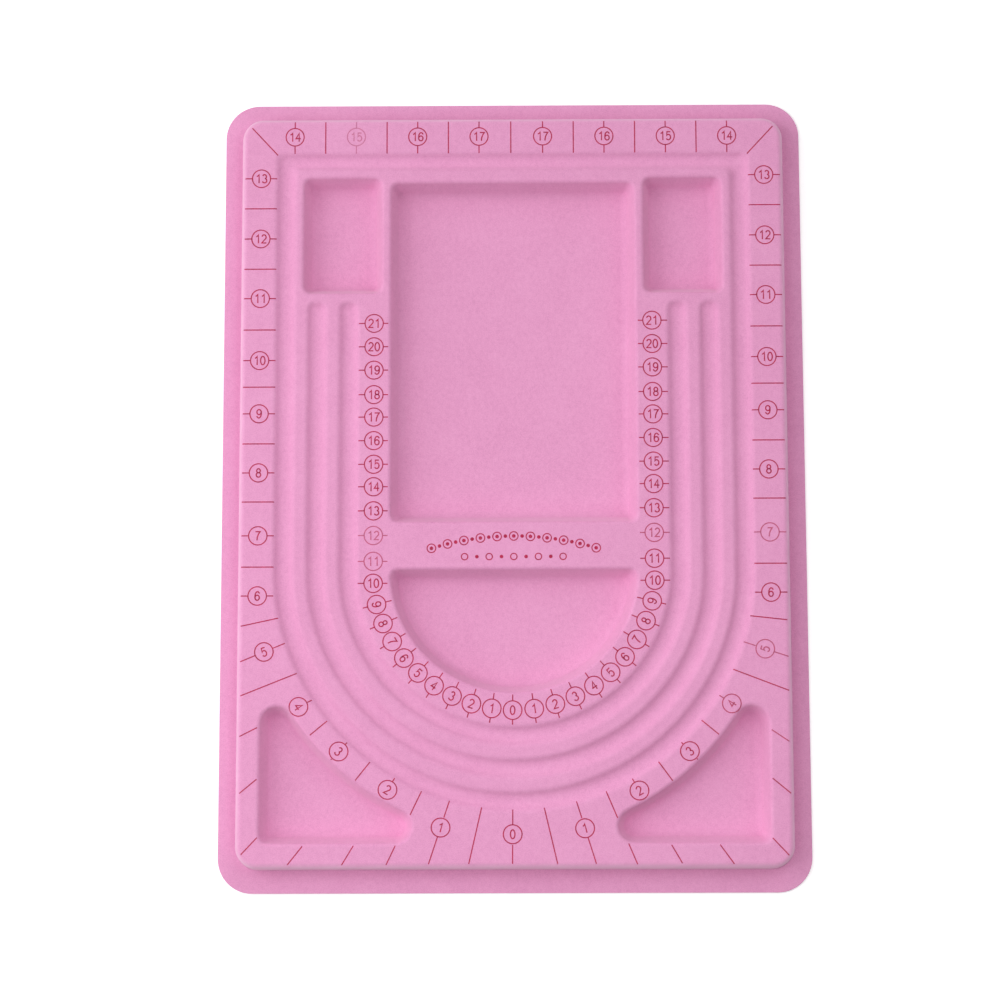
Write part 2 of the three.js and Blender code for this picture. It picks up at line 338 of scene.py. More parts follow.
def open_channel(outer, inner, top, radius):
    """A channel down one side, round the bottom and up the other side."""
    def outline_at(grow):
        r = grown(radius, grow)
        end = top + grow - r
        outside = outer + grow - r
        inside = inner - grow + r
        return outline(
            arc(0, ROUND_CENTRE, outer + grow, 180, 360, HALF_TURN_STEPS),
            arc(outside, end, r, 0, 90, CORNER_STEPS),
            arc(inside, end, r, 90, 180, CORNER_STEPS),
            arc(0, ROUND_CENTRE, inner - grow, 360, 180, HALF_TURN_STEPS),
            arc(-inside, end, r, 0, 90, CORNER_STEPS),
            arc(-outside, end, r, 90, 180, CORNER_STEPS),
        )
    return outline_at


def half_moon(radius):
    """The half round well under the cross bar, with its two top corners rounded."""
    def outline_at(grow):
        r = grown(WELL_CORNER_RADIUS, grow, WELL_FLOOR_CORNER_RADIUS)
        up = grow - r
        across = math.sqrt((radius + grow - r) ** 2 - up ** 2)
        tilt = math.degrees(math.atan2(up, across))
        return outline(
            arc(0, ROUND_CENTRE, radius + grow, 180 - tilt, 360 + tilt, HALF_TURN_STEPS),
            arc(across, ROUND_CENTRE + up, r, tilt, 90, CORNER_STEPS),
            arc(-across, ROUND_CENTRE + up, r, 90, 180 - tilt, CORNER_STEPS),
        )
    return outline_at


def corner_well(hand):
    """The three-sided well in a bottom corner, whose long side follows the channels."""
    side = DECK_HALF_WIDTH - CORNER_WELL_RAIL_SIDE
    bottom = DECK_BOTTOM + CORNER_WELL_RAIL_BOTTOM - ROUND_CENTRE

    def outline_at(grow):
        big = LOOP_OUTER + CORNER_WELL_BAND - grow
        tip = grown(CORNER_WELL_TIP_RADIUS, grow)
        corner = grown(WELL_CORNER_RADIUS, grow, WELL_FLOOR_CORNER_RADIUS)
        side_x = side + grow - tip
        side_y = -math.sqrt((big + tip) ** 2 - side_x ** 2)
        bottom_y = bottom - grow + tip
        bottom_x = math.sqrt((big + tip) ** 2 - bottom_y ** 2)
        side_angle = math.degrees(math.atan2(side_y, side_x))
        bottom_angle = math.degrees(math.atan2(bottom_y, bottom_x))
        points = outline(
            arc(bottom_x, bottom_y, tip, 180 + bottom_angle, 270, CORNER_STEPS),
            arc(side + grow - corner, bottom - grow + corner, corner, 270, 360, CORNER_STEPS),
            arc(side_x, side_y, tip, 0, 180 + side_angle, CORNER_STEPS),
            arc(0, 0, big, side_angle, bottom_angle, 2 * WIDE_CORNER_STEPS),
        )
        placed = [(hand * x, y + ROUND_CENTRE) for x, y in points]
        return placed[::hand]
    return outline_at


def four_sided_well(left, bottom, right, top):
    return rounded_rectangle(
        left, bottom, right, top, WELL_CORNER_RADIUS, CORNER_STEPS, WELL_FLOOR_CORNER_RADIUS)


def deck_outline(steps):
    return rounded_rectangle(
        -DECK_HALF_WIDTH, DECK_BOTTOM, DECK_HALF_WIDTH, DECK_TOP, DECK_CORNER_RADIUS, steps)


def small_well(hand):
    outer = hand * (LOOP_INNER - SMALL_WELL_RAIL_OUTER)
    inner = hand * (LARGE_WELL_HALF_WIDTH + SMALL_WELL_RAIL_INNER)
    left, right = sorted((outer, inner))
    return four_sided_well(left, SMALL_WELL_BOTTOM, right, SMALL_WELL_TOP)


def large_well():
    half = LARGE_WELL_HALF_WIDTH
    bottom = ROUND_CENTRE + CROSS_BAR_WIDTH
    top = LOOP_INNER_TOP - LARGE_WELL_RAIL_TOP
    return four_sided_well(-half, bottom, half, top)


def wall(profile, depth):
    """The levels of a drawn wall, from its foot up to the deck.
    Below the flocked face it lies parallel, the given depth down, so every layer keeps its thickness.
    The painted highlight, which stands in for the sheen of the fibres on the lip, is strongest a little
    past the middle of the round at the deck."""
    run, drop, foot_radius, edge_radius, lip_highlight_strength = profile
    mitre = depth * (math.hypot(run, drop) - run) / drop
    slope = math.atan2(drop, run)

    def turn(x, z, radius, side, steps):
        along = radius * math.tan(slope / 2)
        levels = []
        for i in range(steps + 1):
            share = i / steps
            angle = slope * share
            # Painted highlight, laid only on the round at the deck
            pale = lip_highlight_strength * math.sin(math.pi * share ** 2) if side < 0 else 0
            past = x + side * (along - radius * math.sin(angle))
            levels.append(Level(past, z + side * radius * (1 - math.cos(angle)), pale))
        return levels

    foot = turn(run - mitre, -drop - depth, grown(foot_radius, depth), 1, FOOT_STEPS)
    edge = turn(-mitre, -depth, grown(edge_radius, -depth), -1, EDGE_STEPS)
    return foot + edge[::-1]


def guard(level, beyond):
    """A level a short way onto the flat beside a wall, so that the flat is shaded flat."""
    return Level(level.past + beyond, level.z, 0)


class Skin:
    """One face of the sheet, gathered ring by ring."""

    def __init__(self):
        self.points = []
        self.faces = []
        self.pale = []

    def ring(self, flat, z, pale=0):
        first = len(self.points)
        self.points += [(x, y, z) for x, y in flat]
        self.pale += [pale] * len(flat)
        return list(range(first, len(self.points)))

    def wall_ring(self, flat, level):
        return self.ring(flat, BOARD_HEIGHT + level.z, level.pale)

    def loft(self, rings):
        for lower, upper in zip(rings, rings[1:]):
            for i in range(len(lower)):
                self.faces.append((lower[i - 1], lower[i], upper[i], upper[i - 1]))

    def fill(self, *rings):
        """Flat triangles inside the first ring and outside the others."""
        indices = [index for ring in rings for index in ring]
        flat = [Vector(self.points[index][:2]) for index in indices]
        loops = []
        first = 0
        for ring in rings:
            loops.append(list(range(first, first + len(ring))))
            first += len(ring)
        found = delaunay_2d_cdt(flat, [], loops, INSIDE_LOOPS, SAME_POINT)
        triangles, given_points, given_loops = found[2], found[3], found[5]
        for triangle, loops_round_it in zip(triangles, given_loops):
            if loops_round_it == [0]:
                self.faces.append(tuple(indices[given_points[v][0]] for v in triangle))

    def hollow(self, outline_at, profile, depth):
        """A hollow's wall and floor. Returns its ring on the deck."""
        levels = wall(profile, depth)
        levels.append(guard(levels[-1], -FLAT_GUARD))
        rings = [self.wall_ring(outline_at(-level.past), level) for level in levels]
        self.loft(rings)
        self.fill(rings[0])
        return rings[-1]

    def loop_channel(self, depth):
        """The closed channel, narrower along its top. Returns its outer and inner rings on the deck."""
        outer = tongue(LOOP_OUTER, LOOP_TOP, CHANNEL_LOOP_RADIUS)
        inner = tongue(LOOP_INNER, LOOP_INNER_TOP, CHANNEL_LOOP_RADIUS)
        levels = wall(CHANNEL_WALL, depth)
        levels.append(guard(levels[-1], -FLAT_GUARD))
        section = [(level.past / CHANNEL_WIDTH, level) for level in reversed(levels)]
        section += [(1 - level.past / CHANNEL_WIDTH, level) for level in levels]
        rings = []
        for share, level in section:
            flat = [(a + (c - a) * share, b + (d - b) * share) for (a, b), (c, d) in zip(outer, inner)]
            rings.append(self.wall_ring(flat, level))
        self.loft(rings)
        return rings[0], rings[-1]

    def rim(self, depth, trim_radius):
        """The deck's outer wall and the flat rim. Returns the trimmed edge and the ring on the deck."""
        deck_at = deck_outline(WIDE_CORNER_STEPS)
        board_at = rounded_rectangle(
            -BOARD_WIDTH / 2, -BOARD_LENGTH / 2, BOARD_WIDTH / 2, BOARD_LENGTH / 2,
            BOARD_CORNER_RADIUS, WIDE_CORNER_STEPS)
        levels = wall(DECK_WALL, depth)
        levels = [guard(levels[0], FLAT_GUARD)] + levels + [guard(levels[-1], -FLAT_GUARD)]
        rings = [self.wall_ring(deck_at(level.past), level) for level in levels]
        self.loft(rings)
        steps = TRIM_STEPS if trim_radius else 1
        trim = []
        for x, z in arc(-trim_radius, -trim_radius, trim_radius, 0, 90, steps):
            trim.append(self.ring(board_at(x), STACK_THICKNESS - depth + z))
        self.loft(trim)
        self.fill(trim[-1], rings[0])
        return trim[0], rings[-1]


def flocked_face(depth, trim_radius=0):
    """The whole face of the sheet at a depth under the tips of the pile, and its trimmed edge."""
    skin = Skin()
    trim, deck_edge = skin.rim(depth, trim_radius)
    loop_outer, loop_inner = skin.loop_channel(depth)
    corners = [skin.hollow(corner_well(hand), WELL_WALL, depth) for hand in (-1, 1)]
    skin.fill(deck_edge, loop_outer, *corners)

    hollows = [skin.hollow(small_well(hand), WELL_WALL, depth) for hand in (-1, 1)]
    hollows.append(skin.hollow(large_well(), WELL_WALL, depth))
    hollows.append(skin.hollow(half_moon(LARGE_WELL_HALF_WIDTH), WELL_WALL, depth))
    for i in range(1, OPEN_CHANNEL_COUNT + 1):
        outer = LOOP_OUTER - i * CHANNEL_PITCH
        path = open_channel(outer, outer - CHANNEL_WIDTH, CHANNEL_END, CHANNEL_END_RADIUS)
        hollows.append(skin.hollow(path, CHANNEL_WALL, depth))
    skin.fill(loop_inner, *hollows)
    return skin, trim


def mesh_object(name, points, faces, material):
    mesh = bpy.data.meshes.new(name)
    mesh.from_pydata([(x * MM, y * MM, z * MM) for x, y, z in points], [], faces)
    mesh.materials.append(material)
    piece = bpy.data.objects.new(name, mesh)
    bpy.context.scene.collection.objects.link(piece)
    return piece


def point_values(piece, name, values):
    piece.data.attributes.new(name, "FLOAT", "POINT").data.foreach_set("value", values)


def layer(name, node, top, bottom, trim_radius, material):
    """One layer of the sheet, closed between two depths, in place of its CAD node."""
    upper, upper_trim = flocked_face(top, trim_radius)
    lower, lower_trim = flocked_face(bottom)
    first = len(upper.points)
    skin = Skin()
    skin.points = upper.points + lower.points
    skin.faces = upper.faces + [tuple(i + first for i in face) for face in lower.faces]
    skin.loft([upper_trim, [i + first for i in lower_trim]])
    piece = mesh_object(name, skin.points, skin.faces, material)
    # Strength of the painted lip highlight at each point
    point_values(piece, "pale", upper.pale + lower.pale)
    mesh = piece.data
    work = bmesh.new()
    work.from_mesh(mesh)
    bmesh.ops.remove_doubles(work, verts=work.verts, dist=SAME_POINT * MM)
    bmesh.ops.recalc_face_normals(work, faces=work.faces)
    work.to_mesh(mesh)
    work.free()
    mesh.shade_smooth()
    mesh.set_sharp_from_angle(angle=math.radians(SHARP_ANGLE))
    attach(piece, "root")
    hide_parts(node)
    return upper


# Strokes of the plain numerals, for a height of 1 about the middle

def bow(x, y, across, up, start, end):
    steps = max(LEAST_STROKE_STEPS, round(abs(end - start) / STROKE_TURN))
    return [(x + across * a, y + up * b) for a, b in arc(0, 0, 1, start, end, steps)]


def half_turned(strokes):
    return [[(-x, -y) for x, y in stroke] for stroke in strokes]


SIX = [bow(0, -0.19, 0.24, 0.28, 0, 360), bow(0.03, -0.02, 0.27, 0.49, 195, 35)]
NUMERALS = {
    "0": [bow(0, 0, 0.245, 0.47, 0, 360)],
    "1": [[(-0.17, 0.25), (-0.02, 0.34), (0.08, 0.47), (0.08, -0.5)]],
    "2": [bow(0, 0.2, 0.235, 0.27, 165, -30) + [(-0.25, -0.46), (0.27, -0.46)]],
    "3": [bow(-0.01, 0.235, 0.205, 0.235, 160, -80), bow(-0.01, -0.22, 0.245, 0.25, 80, -160)],
    "4": [[(0.1, -0.5), (0.1, 0.45), (-0.26, -0.17), (0.28, -0.17)]],
    "5": [[(0.23, 0.46), (-0.15, 0.46), (-0.2, 0.02)] + bow(-0.01, -0.16, 0.25, 0.31, 130, -150)],
    "6": SIX,
    "7": [[(-0.26, 0.46), (0.25, 0.46), (0.07, 0.18), (-0.05, -0.14), (-0.09, -0.5)]],
    "8": [bow(0, 0.24, 0.2, 0.225, 0, 360), bow(0, -0.22, 0.245, 0.25, 0, 360)],
    "9": half_turned(SIX),
}


class Print:
    """Ink lines and dots, laid on the flocked face."""

    def __init__(self, ground):
        self.ground = ground
        self.points = []
        self.faces = []
        self.worn = []

    def drape(self, x, y):
        hit = self.ground.ray_cast(Vector((x, y, 2 * BOARD_HEIGHT)), Vector((0, 0, -1)))[0]
        return (x, y, hit.z + INK_LIFT)

    def add(self, flat, faces, worn):
        first = len(self.points)
        self.points += [self.drape(x, y) for x, y in flat]
        self.faces += [tuple(first + i for i in face) for face in faces]
        self.worn += [worn] * len(flat)

    def line(self, path, width, worn=0.0):
        """A line of even width along a path, closed where the path ends at its start."""
        closed = math.dist(path[0], path[-1]) < SAME_POINT
        count = len(path)
        sides = []
        for i, (x, y) in enumerate(path):
            before = path[i - 1] if i else path[-2 if closed else 0]
            after = path[i + 1] if i + 1 < count else path[1 if closed else -1]
            into = (Vector((x, y)) - Vector(before)).normalized()
            out = (Vector(after) - Vector((x, y))).normalized()
            along = (into + out).normalized()
            spread = max((into if i else out).dot(along), LEAST_MITRE)
            across = Vector((-along.y, along.x)) * width / 2 / spread
            sides += [(x + across.x, y + across.y), (x - across.x, y - across.y)]
        faces = [(2 * i, 2 * i + 1, 2 * i + 3, 2 * i + 2) for i in range(count - 1)]
        self.add(sides, faces, worn)

    def straight(self, start, end, worn=0.0):
        steps = max(1, math.ceil(math.dist(start, end) / INK_STEP))
        path = [tuple(a + (b - a) * i / steps for a, b in zip(start, end)) for i in range(steps + 1)]
        self.line(path, LINE_WIDTH, worn)

    def ring(self, x, y, radius, width, worn=0.0):
        self.line(arc(x, y, radius, 0, 360, RING_STEPS), width, worn)

    def dot(self, x, y, radius, worn=0.0):
        self.add(arc(x, y, radius, 0, 360, RING_STEPS)[:-1], [tuple(range(RING_STEPS))], worn)

    def number(self, n, x, y, turn, worn=0.0):
        """A ringed number, turned by an angle in degrees."""
        self.ring(x, y, RING_RADIUS, LINE_WIDTH, worn)
        text = str(n)
        cos, sin = math.cos(math.radians(turn)), math.sin(math.radians(turn))
        for i, figure in enumerate(text):
            shift = (i - (len(text) - 1) / 2) * DIGIT_ADVANCE
            for stroke in NUMERALS[figure]:
                sized = [(u * DIGIT_HEIGHT + shift, v * DIGIT_HEIGHT) for u, v in stroke]
                placed = [(x + u * cos - v * sin, y + u * sin + v * cos) for u, v in sized]
                self.line(placed, DIGIT_STROKE, worn)

    def piece(self, name, material):
        piece = mesh_object(name, self.points, self.faces, material)
        point_values(piece, "worn", self.worn)
        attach(piece, "root")


def centimetre_mark(ink, hand, n):
    """A ringed number across the inner band, with a short line on either side of it."""
    if n <= CENTIMETRE_ROUND_COUNT:
        turn = CENTIMETRE_TURN * n * (1 + hand * CENTIMETRE_TURN_SLIP)
        turn += CENTIMETRE_TURN_BOW * math.sin(math.pi * n / (CENTIMETRE_ROUND_COUNT + 1))
        turn -= hand * CENTIMETRE_ZERO_TURN
        across, up = hand * math.sin(math.radians(turn)), -math.cos(math.radians(turn))
        start = CENTIMETRE_CENTRE
        middle = CENTIMETRE_RADIUS
        tilt = hand * turn
    else:
        across, up = hand, 0
        start = CENTIMETRE_START + CENTIMETRE_PITCH * (n - CENTIMETRE_ROUND_COUNT - 1)
        start += hand * PRINT_SLIP + NUDGED.get(("centimetre", n), 0)
        middle = CENTIMETRE_LINE
        tilt = 0

    def place(reach):
        return across * reach, start + up * reach

    worn = WORN_NUMBERS.get(("centimetre", hand, n), 0.0)
    ink.number(n, *place(middle), tilt, worn)
    ink.straight(place(CENTIMETRE_LEAD_INNER), place(middle - RING_RADIUS), worn)
    ink.straight(place(middle + RING_RADIUS), place(CENTIMETRE_LEAD_OUTER), worn)


def centimetre_scale(ink):
    for hand in (-1, 1):
        for n in range(0 if hand > 0 else 1, CENTIMETRE_COUNT + 1):
            centimetre_mark(ink, hand, n)


def inside(flat, x, y):
    """Whether a point lies in a closed outline."""
    crossings = 0
    for (a, b), (c, d) in zip(flat, flat[1:] + flat[:1]):
        if (b > y) != (d > y) and x < a + (c - a) * (y - b) / (d - b):
            crossings += 1
    return crossings % 2 == 1


def inch_turn(hand, n):
    """Angle of an inch mark round the bottom, from straight down, in degrees."""
    turn = INCH_TURN_START * min(n, 1) + INCH_TURN * n
    return turn * (1 + hand * INCH_TURN_SLIP) - hand * INCH_ZERO_TURN


def inch_round_mark(ink, hand, n):
    """A radial mark out to the deck's edge, broken at the corner well and at a whole inch's ring."""
    numbered = n == int(n)
    stray, lean = INCH_STRAY.get((hand, n), (0, 0))
    turn = inch_turn(hand, n) + stray
    pivot, aim = math.radians(turn), math.radians(turn + lean)
    radius = INCH_RADII[int(n)]
    worn = WORN_NUMBERS.get(("inch", hand, n), 0.0)

    def place(reach):
        beyond = reach - INCH_PIVOT_RADIUS
        x = INCH_PIVOT_RADIUS * math.sin(pivot) + beyond * math.sin(aim)
        y = INCH_PIVOT_RADIUS * math.cos(pivot) + beyond * math.cos(aim)
        return hand * x, INCH_CENTRE - y

    well = corner_well(hand)(INK_WELL_MARGIN)
    deck_edge = deck_outline(CORNER_STEPS)(-INK_EDGE_MARGIN)
    if numbered:
        quarter = 90 if (hand, n) == INCH_QUARTER_TURNED else 0
        ink.number(int(n), *place(radius), hand * turn + quarter, worn)
    stretch = []
    reach = LOOP_OUTER - INCH_LEAD_OVERRUN / 2
    while inside(deck_edge, *place(reach)):
        if inside(well, *place(reach)) or (numbered and abs(reach - radius) < RING_RADIUS):
            if len(stretch) > 1:
                ink.line(stretch, LINE_WIDTH, worn)
            stretch = []
        else:
            stretch.append(place(reach))
        reach += INK_STEP
    if len(stretch) > 1:
        ink.line(stretch, LINE_WIDTH, worn)


def inch_height(n):
    """Height of a numbered mark on the straight sides, which are printed in two runs."""
    if n >= INCH_UPPER_FIRST:
        return INCH_UPPER_START + INCH_UPPER_PITCH * (n - INCH_UPPER_FIRST)
    return INCH_SIDE_START + INCH_SIDE_PITCH * (n - INCH_ROUND_COUNT - 1)


def inch_side_marks(ink, hand):
    """The marks up one straight side, to the slanting tick in the top corner."""
    inner = hand * (LOOP_OUTER - INCH_LEAD_OVERRUN)
    outer = hand * (DECK_HALF_WIDTH - INK_EDGE_MARGIN)
    slip = hand * PRINT_SLIP
    for n in range(INCH_ROUND_COUNT + 1, INCH_TOP_FIRST):
        y = inch_height(n) + slip + NUDGED.get(("inch", n), 0)
        worn = WORN_NUMBERS.get(("inch", hand, n), 0.0)
        ink.number(n, hand * INCH_LINE, y, 0, worn)
        ink.straight((inner, y), (hand * (INCH_LINE - RING_RADIUS), y), worn)
        ink.straight((hand * (INCH_LINE + RING_RADIUS), y), (outer, y), worn)
        if n + 1 < INCH_TOP_FIRST:
            half = (inch_height(n) + inch_height(n + 1)) / 2
            half += slip + NUDGED.get(("inch", n + 0.5), 0)
            ink.straight((inner, half), (outer, half))
    ink.straight(*[(hand * x, y) for x, y in INCH_CORNER_TICK])


def inch_top_marks(ink, hand, inner, outer):
    """The marks along one half of the top, between two heights."""
    for n in range(INCH_TOP_FIRST, INCH_COUNT + 1):
        gap = INCH_TOP_HALF_GAP + INCH_TOP_PITCH * (INCH_COUNT - n)
        x = INCH_TOP_SHIFT + hand * gap
        worn = WORN_NUMBERS.get(("inch", hand, n), 0.0)
        ink.number(n, x, INCH_TOP_LINE, 0, worn)
        ink.straight((x, inner), (x, INCH_TOP_LINE - RING_RADIUS), worn)
        ink.straight((x, INCH_TOP_LINE + RING_RADIUS), (x, outer), worn)
        if n > INCH_TOP_FIRST:
            half = x + hand * INCH_TOP_PITCH / 2
            ink.straight((half, inner), (half, outer))


def inch_scale(ink):
    top_inner = LOOP_TOP - INCH_LEAD_OVERRUN / 2
    top_outer = DECK_TOP - INK_EDGE_MARGIN
    for hand in (-1, 1):
        for half in range(0 if hand > 0 else 1, 2 * INCH_ROUND_COUNT + 2):
            inch_round_mark(ink, hand, half / 2)
        inch_side_marks(ink, hand)
        inch_top_marks(ink, hand, top_inner, top_outer)
    ink.straight((INCH_TOP_SHIFT, top_inner), (INCH_TOP_SHIFT, top_outer))


def bead_row(ink):
    """A plain printed string of beads, arched, over a short straight one."""
    for i in range(BEAD_ARCH_COUNT):
        turn = BEAD_ARCH_HALF_TURN * (2 * i / (BEAD_ARCH_COUNT - 1) - 1)
        x = BEAD_ARCH_RADIUS * math.sin(math.radians(turn))
        y = BEAD_ARCH_TOP - BEAD_ARCH_RADIUS * (1 - math.cos(math.radians(turn)))
        if i % 2:
            ink.dot(x, y, BEAD_SMALL_RADIUS)
        else:
            ink.ring(x, y, BEAD_LARGE_RADIUS, BEAD_LINE_WIDTH)
            ink.dot(x, y, BEAD_SMALL_RADIUS)
    for i in range(BEAD_ROW_COUNT):
        x = BEAD_ROW_HALF_LENGTH * (2 * i / (BEAD_ROW_COUNT - 1) - 1)
        if i % 2:
            ink.dot(x, BEAD_ROW_Y, BEAD_SMALL_RADIUS)
        else:
            ink.ring(x, BEAD_ROW_Y, BEAD_ROW_RADIUS, BEAD_LINE_WIDTH)


# Materials

# The usual range of a noise, and the share of a speck inside its soft edge
NOISE_LOW = 0.3
NOISE_HIGH = 0.7
SPECK_CORE = 0.6


class Shader:
    """A material with a Principled surface, and short ways to add nodes to it."""

    def __init__(self, name):
        self.material = bpy.data.materials.new(name)
        self.material.use_nodes = True
        self.tree = self.material.node_tree
        self.surface = self.tree.nodes["Principled BSDF"]
        self.place = self.tree.nodes.new("ShaderNodeTexCoord").outputs["Object"]

    def link(self, value, socket):
        if isinstance(value, bpy.types.NodeSocket):
            self.tree.links.new(value, socket)
        else:
            socket.default_value = value

    def noise(self, size, detail=2.0, roughness=0.5):
        """Noise whose marks are about the given size in millimetres."""
        node = self.tree.nodes.new("ShaderNodeTexNoise")
        self.link(self.place, node.inputs["Vector"])
        node.inputs["Scale"].default_value = 1 / (size * MM)
        node.inputs["Detail"].default_value = detail
        node.inputs["Roughness"].default_value = roughness
        return node.outputs["Fac"]

    def distance(self):
        """Distance from the middle of the piece, in metres."""
        node = self.tree.nodes.new("ShaderNodeVectorMath")
        node.operation = "LENGTH"
        self.link(self.place, node.inputs[0])
        return node.outputs["Value"]

    def span(self, value, low, high, to_low, to_high):
        """A value moved from one range to another, held at its ends."""
        node = self.tree.nodes.new("ShaderNodeMapRange")
        for socket, given in zip(node.inputs, (value, low, high, to_low, to_high)):
            self.link(given, socket)
        return node.outputs["Result"]

    def vary(self, noise, to_low, to_high):
        """Noise moved from its usual range to another one."""
        return self.span(noise, NOISE_LOW, NOISE_HIGH, to_low, to_high)

    def math(self, operation, a, b):
        node = self.tree.nodes.new("ShaderNodeMath")
        node.operation = operation
        self.link(a, node.inputs[0])
        self.link(b, node.inputs[1])
        return node.outputs[0]

    def blend(self, share, a, b):
        """From one colour to another."""
        node = self.tree.nodes.new("ShaderNodeMix")
        node.data_type = "RGBA"
        self.link(share, node.inputs["Factor"])
        self.link(a, node.inputs["A"])
        self.link(b, node.inputs["B"])
        return node.outputs["Result"]

    def specks(self, size, spacing, share):
        """Scattered round specks: 1 inside one, 0 elsewhere. Only a share of the places holds one."""
        node = self.tree.nodes.new("ShaderNodeTexVoronoi")
        self.link(self.place, node.inputs["Vector"])
        node.inputs["Scale"].default_value = 1 / (spacing * MM)
        reach = size / spacing / 2
        near = self.span(node.outputs["Distance"], reach * SPECK_CORE, reach, 1.0, 0.0)
        split = self.tree.nodes.new("ShaderNodeSeparateColor")
        self.link(node.outputs["Color"], split.inputs["Color"])
        chosen = self.math("LESS_THAN", split.outputs["Red"], share)
        return self.math("MULTIPLY", near, chosen)

    def attribute(self, name):
        node = self.tree.nodes.new("ShaderNodeAttribute")
        node.attribute_name = name
        return node.outputs["Fac"]

    def bump(self, height, depth, strength):
        node = self.tree.nodes.new("ShaderNodeBump")
        node.inputs["Strength"].default_value = strength
        node.inputs["Distance"].default_value = depth * MM
        self.link(height, node.inputs["Height"])
        self.link(node.outputs["Normal"], self.surface.inputs["Normal"])

    def set(self, **sockets):
        for name, value in sockets.items():
            self.link(value, self.surface.inputs[name.replace("_", " ")])


def colour(*levels):
    """Red, green and blue on a screen, from 0 to 255, as the linear colour that a shader takes."""
    shares = [level / 255 for level in levels]
    linear = [c / 12.92 if c <= 0.04045 else ((c + 0.055) / 1.055) ** 2.4 for c in shares]
    return (*linear, 1.0)


FLOCK_PALE = colour(239, 170, 210)
FLOCK_MID = colour(231, 158, 200)
FLOCK_DEEP = colour(217, 143, 186)
# Painted highlight: the lighter colour laid on the deck's rounded lip
FLOCK_LIP_HIGHLIGHT = colour(238, 182, 214)
FLOCK_LINT = colour(248, 226, 238)
FLOCK_DUST = colour(120, 80, 110)
PLASTIC_PALE = colour(233, 166, 203)
PLASTIC_DEEP = colour(222, 148, 189)
GLUE_PALE = colour(240, 205, 222)
GLUE_DEEP = colour(228, 182, 206)
INK_PALE = colour(194, 40, 80)
INK_DEEP = colour(158, 18, 58)
FLOOR_PALE = colour(254, 254, 254)
FLOOR_DEEP = colour(250, 250, 250)
WHITE = colour(255, 255, 255)


# Sizes of the marks in the surfaces
FIBRE_SIZE = 0.42
FIBRE_NOISE_ROUGHNESS = 0.7
TUFT_SIZE = 1.7
MOTTLE_SIZE = 11
DRIFT_SIZE = 60
FLOW_SIZE = 45
GRAIN_SIZE = 0.8
STREAK_SIZE = 3
INK_PATCH_SIZE = 2.2
CLOUD_SIZE = 400

# Specks: size, spacing, and the share of the places that hold one
DUST_SPECKS = (0.35, 17, 0.12)
LINT_SPECKS = (0.45, 23, 0.1)
SCUFF_SPECKS = (0.5, 14, 0.2)

# How far each kind of mark moves the flock's tone, from 0 for the deep colour to 1 for the pale one
FIBRE_SPAN = (0.25, 0.75)
FIBRE_TONE = (0.12, 0.88)
TUFT_TONE = (-0.1, 0.1)
MOTTLE_TONE = (-0.06, 0.06)
DRIFT_TONE = (-0.06, 0.06)
# How much of the painted lip highlight shows, varied by the mottle
LIP_HIGHLIGHT_SHARE = (0.6, 1.0)

# Fine relief: depth and strength of the bump
FLOCK_RELIEF = (0.12, 0.6)
PLASTIC_RELIEF = (0.05, 0.5)
GLUE_RELIEF = (0.03, 0.5)
INK_RELIEF = (0.1, 0.5)
TUFT_RELIEF_SHARE = 0.6
FLOW_RELIEF_SHARE = 2.0

# Gloss
FLOCK_ROUGHNESS = (0.85, 1.0)
FLOCK_SPECULAR = 0.1
FLOCK_SHEEN = 0.45
FLOCK_SHEEN_ROUGHNESS = 0.45
FLOCK_SHEEN_TINT = (1.0, 0.93, 0.97, 1.0)
PLASTIC_ROUGHNESS = (0.34, 0.46)
SCUFF_ROUGHNESS = 0.2
GLUE_ROUGHNESS = (0.5, 0.7)
INK_ROUGHNESS = (0.7, 0.85)
INK_SPECULAR = 0.2

# Ink that the tips of the fibres have lost: the span of the fibres' noise, and the share lost at its end
INK_GAP_SPAN = (0.45, 0.8)
INK_GAP_SHARE = 0.25


def fibre_noise(shader):
    return shader.noise(FIBRE_SIZE, roughness=FIBRE_NOISE_ROUGHNESS)


def flock_material():
    shader = Shader("pink_flock")
    fibres = fibre_noise(shader)
    tufts = shader.noise(TUFT_SIZE)
    mottle = shader.noise(MOTTLE_SIZE, detail=3.0)
    drift = shader.noise(DRIFT_SIZE)
    tone = shader.math("ADD", shader.vary(mottle, *MOTTLE_TONE), shader.vary(drift, *DRIFT_TONE))
    tone = shader.math("ADD", tone, shader.span(fibres, *FIBRE_SPAN, *FIBRE_TONE))
    tone = shader.math("ADD", tone, shader.vary(tufts, *TUFT_TONE))
    below = shader.blend(shader.span(tone, 0.0, 0.5, 0.0, 1.0), FLOCK_DEEP, FLOCK_MID)
    shade = shader.blend(shader.span(tone, 0.5, 1.0, 0.0, 1.0), below, FLOCK_PALE)
    # Painted highlight: the deck's rounded lip is blended towards a lighter colour in place of the sheen
    # of its fibres
    painted_lip_highlight = shader.math("MULTIPLY", shader.attribute("pale"), shader.vary(mottle, *LIP_HIGHLIGHT_SHARE))
    shade = shader.blend(painted_lip_highlight, shade, FLOCK_LIP_HIGHLIGHT)
    shade = shader.blend(shader.specks(*DUST_SPECKS), shade, FLOCK_DUST)
    shade = shader.blend(shader.specks(*LINT_SPECKS), shade, FLOCK_LINT)
    height = shader.math("ADD", fibres, shader.math("MULTIPLY", tufts, TUFT_RELIEF_SHARE))
    shader.bump(height, *FLOCK_RELIEF)
    shader.set(
        Base_Color=shade,
        Roughness=shader.vary(tufts, *FLOCK_ROUGHNESS),
        Specular_IOR_Level=FLOCK_SPECULAR,
        Sheen_Weight=FLOCK_SHEEN,
        Sheen_Roughness=FLOCK_SHEEN_ROUGHNESS,
        Sheen_Tint=FLOCK_SHEEN_TINT,
    )
    return shader.material


